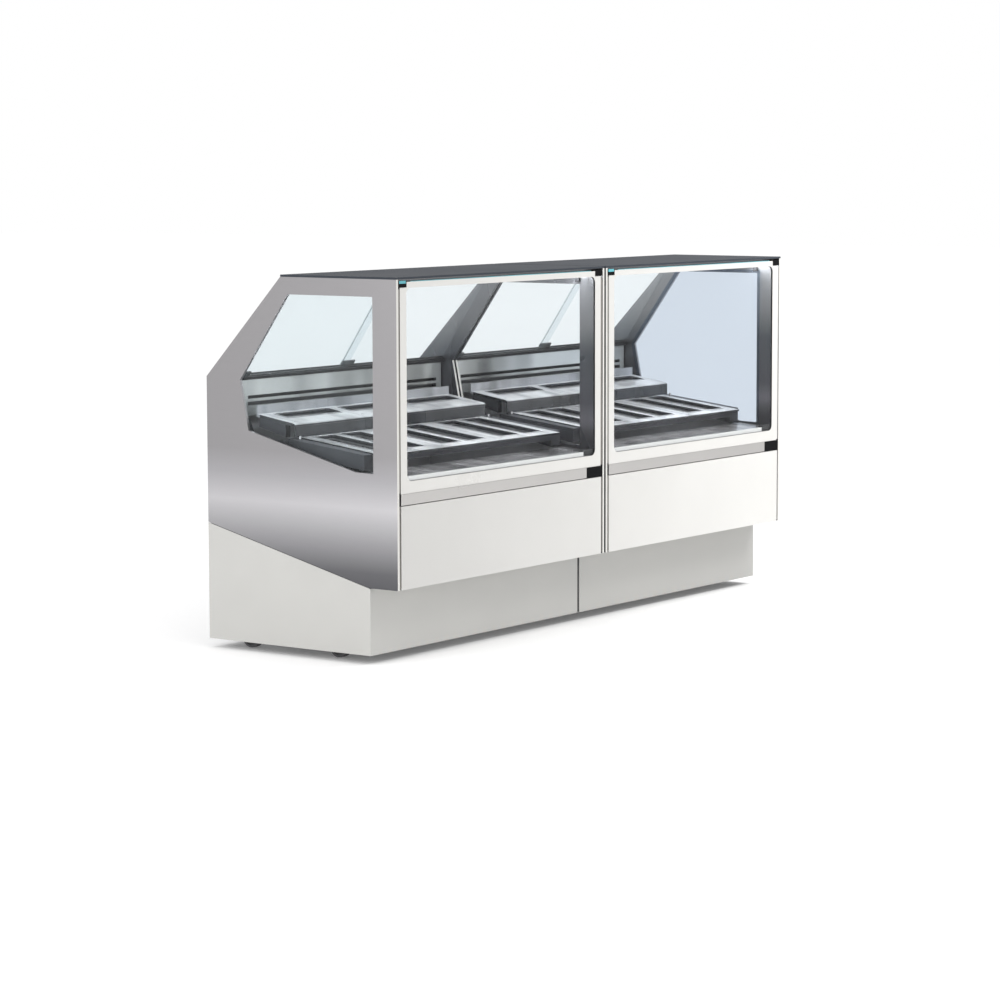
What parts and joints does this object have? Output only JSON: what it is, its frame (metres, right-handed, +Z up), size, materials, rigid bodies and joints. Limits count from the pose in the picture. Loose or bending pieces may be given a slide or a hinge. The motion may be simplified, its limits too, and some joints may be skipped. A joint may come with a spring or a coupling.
{
  "type": "ice cream dipping cabinet",
  "caption": "Long glass-fronted ice cream dipping cabinet on castors, with sloped pan frames, hinged front glass and sliding rear doors.",
  "frame": {"origin": "middle of the footprint, at floor level", "axes": "+X along the counter, -Y towards the customer, +Y towards the operator, +Z up"},
  "size_m": [2.4, 0.8, 1.26],
  "materials": {
    "end_steel": "brushed",
    "joint_steel": "brushed",
    "side_glass": "clear",
    "black_rubber": "matte",
    "roof_dark": "satin",
    "frame_steel": "satin",
    "lamp_body": "satin",
    "front_white": "satin",
    "plinth_grey": "satin",
    "base_paint": "satin",
    "tub_shell": "dark skin over foam",
    "liner_steel": "satin",
    "sill_steel": "polished",
    "ledge_steel": "satin",
    "track_black": "matte",
    "pan_steel": "polished",
    "support_steel": "satin",
    "pin_steel": "polished",
    "coil_aluminium": "mill",
    "compressor_black": "satin",
    "tray_zinc": "galvanised",
    "rear_steel": "brushed",
    "control_black": "fine texture",
    "castor_zinc": "zinc plated",
    "front_glass": "clear",
    "rail_aluminium": "anodised",
    "corner_black": "gloss",
    "door_glass": "clear",
    "pull_black": "fine texture",
    "wheel_grey": "matte",
    "fan_grey": "matte",
    "rocker_red": "gloss"
  },
  "bodies": {
    "body": {"end_panel_left": "end_steel", "end_panel_right": "end_steel", "joint_panels": "joint_steel", "end_glass": "side_glass", "seals": "black_rubber", "roof_panels": "roof_dark", "roof_rails": "frame_steel", "lamps": "lamp_body", "front_panels": "front_white", "kick_panels": "plinth_grey", "plinth_ends": "plinth_grey", "base_frame": "base_paint", "tub_walls": "tub_shell", "liners": "liner_steel", "sills": "sill_steel", "ledges": "ledge_steel", "door_tracks": "track_black", "upper_frames": "pan_steel", "lower_frames": "pan_steel", "tier_supports": "support_steel", "frame_pins": "pin_steel", "hinge_pins": "pin_steel", "evaporators": "coil_aluminium", "compressors": "compressor_black", "condensers": "coil_aluminium", "machine_trays": "tray_zinc", "rear_covers": "rear_steel", "rear_grilles": "rear_steel", "control_modules": "control_black", "castor_plates": "castor_zinc"},
    "glass_door_1": {"front_glass_1": "front_glass", "grip_rail_1": "rail_aluminium", "corner_blocks_1": "corner_black"},
    "glass_door_2": {"front_glass_2": "front_glass", "grip_rail_2": "rail_aluminium", "corner_blocks_2": "corner_black"},
    "sliding_door_1a": {"door_1a": "door_glass", "door_pull_1a": "pull_black"},
    "sliding_door_1b": {"door_1b": "door_glass", "door_pull_1b": "pull_black"},
    "sliding_door_2a": {"door_2a": "door_glass", "door_pull_2a": "pull_black"},
    "sliding_door_2b": {"door_2b": "door_glass", "door_pull_2b": "pull_black"},
    "castor_fl": {"fork_fl": "castor_zinc"},
    "roller_fl": {"wheel_fl": "wheel_grey"},
    "roller_fm": {"wheel_fm": "wheel_grey"},
    "castor_fr": {"fork_fr": "castor_zinc"},
    "roller_fr": {"wheel_fr": "wheel_grey"},
    "castor_rl": {"fork_rl": "castor_zinc"},
    "roller_rl": {"wheel_rl": "wheel_grey"},
    "roller_rm": {"wheel_rm": "wheel_grey"},
    "castor_rr": {"fork_rr": "castor_zinc"},
    "roller_rr": {"wheel_rr": "wheel_grey"},
    "evap_rotor_1": {"evap_fan_1": "fan_grey"},
    "cond_rotor_1": {"cond_fan_1": "fan_grey"},
    "evap_rotor_2": {"evap_fan_2": "fan_grey"},
    "cond_rotor_2": {"cond_fan_2": "fan_grey"},
    "rocker_switch_1": {"rocker_1": "rocker_red"},
    "rocker_switch_2": {"rocker_2": "rocker_red"}
  },
  "joints": [
    {"name": "glass_hinge_1", "type": "hinge", "parent": "body", "child": "glass_door_1", "pos_m": [-0.6025, -0.392, 1.24], "axis": [-1, 0, 0], "range_deg": [0, 80]},
    {"name": "glass_hinge_2", "type": "hinge", "parent": "body", "child": "glass_door_2", "pos_m": [0.6025, -0.392, 1.24], "axis": [-1, 0, 0], "range_deg": [0, 80]},
    {"name": "door_slide_1a", "type": "slide", "parent": "body", "child": "sliding_door_1a", "axis": [1, 0, 0], "range_m": [0, 0.57]},
    {"name": "door_slide_1b", "type": "slide", "parent": "body", "child": "sliding_door_1b", "axis": [1, 0, 0], "range_m": [-0.57, 0]},
    {"name": "door_slide_2a", "type": "slide", "parent": "body", "child": "sliding_door_2a", "axis": [1, 0, 0], "range_m": [0, 0.57]},
    {"name": "door_slide_2b", "type": "slide", "parent": "body", "child": "sliding_door_2b", "axis": [1, 0, 0], "range_m": [-0.57, 0]},
    {"name": "castor_swivel_fl", "type": "hinge", "parent": "body", "child": "castor_fl", "pos_m": [-1.12, -0.124, 0.09], "axis": [0, 0, 1], "continuous": true},
    {"name": "wheel_spin_fl", "type": "hinge", "parent": "castor_fl", "child": "roller_fl", "pos_m": [-1.12, -0.1, 0.0375], "axis": [1, 0, 0], "continuous": true},
    {"name": "wheel_spin_fm", "type": "hinge", "parent": "body", "child": "roller_fm", "pos_m": [0, -0.1, 0.0375], "axis": [1, 0, 0], "continuous": true},
    {"name": "castor_swivel_fr", "type": "hinge", "parent": "body", "child": "castor_fr", "pos_m": [1.12, -0.124, 0.09], "axis": [0, 0, 1], "continuous": true},
    {"name": "wheel_spin_fr", "type": "hinge", "parent": "castor_fr", "child": "roller_fr", "pos_m": [1.12, -0.1, 0.0375], "axis": [1, 0, 0], "continuous": true},
    {"name": "castor_swivel_rl", "type": "hinge", "parent": "body", "child": "castor_rl", "pos_m": [-1.12, 0.252, 0.09], "axis": [0, 0, 1], "continuous": true},
    {"name": "wheel_spin_rl", "type": "hinge", "parent": "castor_rl", "child": "roller_rl", "pos_m": [-1.12, 0.276, 0.0375], "axis": [1, 0, 0], "continuous": true},
    {"name": "wheel_spin_rm", "type": "hinge", "parent": "body", "child": "roller_rm", "pos_m": [0, 0.276, 0.0375], "axis": [1, 0, 0], "continuous": true},
    {"name": "castor_swivel_rr", "type": "hinge", "parent": "body", "child": "castor_rr", "pos_m": [1.12, 0.252, 0.09], "axis": [0, 0, 1], "continuous": true},
    {"name": "wheel_spin_rr", "type": "hinge", "parent": "castor_rr", "child": "roller_rr", "pos_m": [1.12, 0.276, 0.0375], "axis": [1, 0, 0], "continuous": true},
    {"name": "evap_fan_spin_1", "type": "hinge", "parent": "body", "child": "evap_rotor_1", "pos_m": [-0.6, 0.221, 0.585], "axis": [0, 1, 0], "continuous": true},
    {"name": "cond_fan_spin_1", "type": "hinge", "parent": "body", "child": "cond_rotor_1", "pos_m": [-0.28, 0.302, 0.2603], "axis": [0, 1, 0], "continuous": true},
    {"name": "evap_fan_spin_2", "type": "hinge", "parent": "body", "child": "evap_rotor_2", "pos_m": [0.605, 0.221, 0.585], "axis": [0, 1, 0], "continuous": true},
    {"name": "cond_fan_spin_2", "type": "hinge", "parent": "body", "child": "cond_rotor_2", "pos_m": [0.84, 0.302, 0.2603], "axis": [0, 1, 0], "continuous": true},
    {"name": "rocker_tilt_1", "type": "hinge", "parent": "body", "child": "rocker_switch_1", "pos_m": [-0.969, 0.392, 0.36], "axis": [1, 0, 0], "range_deg": [-7, 7]},
    {"name": "rocker_tilt_2", "type": "hinge", "parent": "body", "child": "rocker_switch_2", "pos_m": [0.236, 0.392, 0.36], "axis": [1, 0, 0], "range_deg": [-7, 7]}
  ]
}
